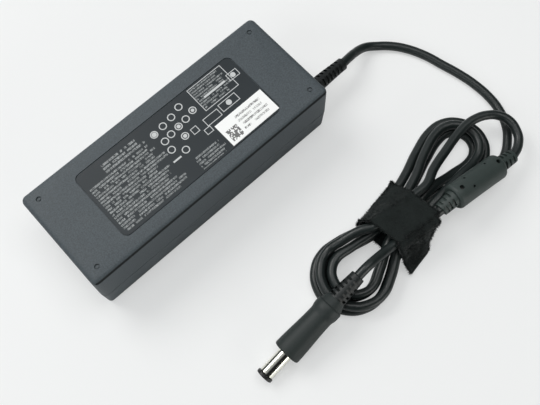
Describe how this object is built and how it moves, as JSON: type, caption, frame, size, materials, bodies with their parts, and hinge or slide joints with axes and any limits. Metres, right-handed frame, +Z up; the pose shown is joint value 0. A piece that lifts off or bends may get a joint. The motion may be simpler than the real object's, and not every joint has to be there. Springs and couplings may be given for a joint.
{
  "type": "laptop power adapter",
  "caption": "Boxy mains adapter in a grey two-shell case with a three-lobe inlet, a tied output cord, a ferrite bead and a round barrel plug.",
  "frame": {"origin": "bottom centre of the case", "axes": "+X along the case towards the end that the output cord leaves, +Y across the case away from the tied cord, +Z up"},
  "size_m": [0.193, 0.1277, 0.032],
  "materials": {
    "case_plastic": "fine speckled moulded texture",
    "label_film": "smooth satin film",
    "sticker_paper": "smooth coated paper",
    "shield_foil": "rolled",
    "insulating_film": "satin",
    "inlet_plastic": "satin",
    "pin_brass": "plated",
    "board_laminate": "solder mask",
    "package_plastic": "moulded",
    "film_box": "satin",
    "ferrite": "ground",
    "copper_wire": "enamelled",
    "heatsink_aluminium": "brushed",
    "capacitor_sleeve": "shrunk film",
    "winding_tape": "satin tape",
    "disc_ceramic": "dipped",
    "wire_red": "satin",
    "wire_black": "satin",
    "relief_plastic": "satin moulded",
    "cord_jacket": "satin extruded",
    "bead_plastic": "satin moulded",
    "plug_plastic": "satin moulded",
    "plug_chrome": "bright nickel",
    "tip_plastic": "satin",
    "strap_fabric": "looped pile over hooks"
  },
  "bodies": {
    "root": {"bottom_cover": "case_plastic", "top_cover": "case_plastic", "rating_label": "label_film", "white_sticker": "sticker_paper", "bottom_shield": "shield_foil", "insulating_sheet": "insulating_film", "top_shield": "shield_foil", "ac_inlet": "inlet_plastic", "inlet_pin_line": "pin_brass", "inlet_pin_neutral": "pin_brass", "inlet_pin_earth": "pin_brass", "main_board": "board_laminate", "fuse": "package_plastic", "x_capacitor": "film_box", "choke_core": "ferrite", "choke_winding": "copper_wire", "primary_heatsink": "heatsink_aluminium", "secondary_heatsink": "heatsink_aluminium", "bridge_rectifier": "package_plastic", "switching_transistor": "package_plastic", "output_rectifier": "package_plastic", "bulk_capacitor": "capacitor_sleeve", "transformer_core": "ferrite", "transformer_winding": "winding_tape", "output_capacitor_1": "capacitor_sleeve", "output_capacitor_2": "capacitor_sleeve", "output_capacitor_3": "capacitor_sleeve", "output_choke": "ferrite", "y_capacitor": "disc_ceramic", "optocoupler": "package_plastic", "controller_chip": "package_plastic", "output_wire_positive": "wire_red", "output_wire_negative": "wire_black", "dc_strain_relief": "relief_plastic", "lead_cord": "cord_jacket", "cord_hank": "cord_jacket", "loop_cord": "cord_jacket", "bead_cord": "cord_jacket", "plug_cord": "cord_jacket", "bead_cover": "bead_plastic", "ferrite_core": "ferrite", "plug_relief": "relief_plastic", "plug_body": "plug_plastic", "plug_sleeve": "plug_chrome", "plug_tip_ring": "tip_plastic", "plug_contact": "tip_plastic", "centre_pin": "pin_brass", "cord_strap": "strap_fabric"}
  },
  "joints": []
}
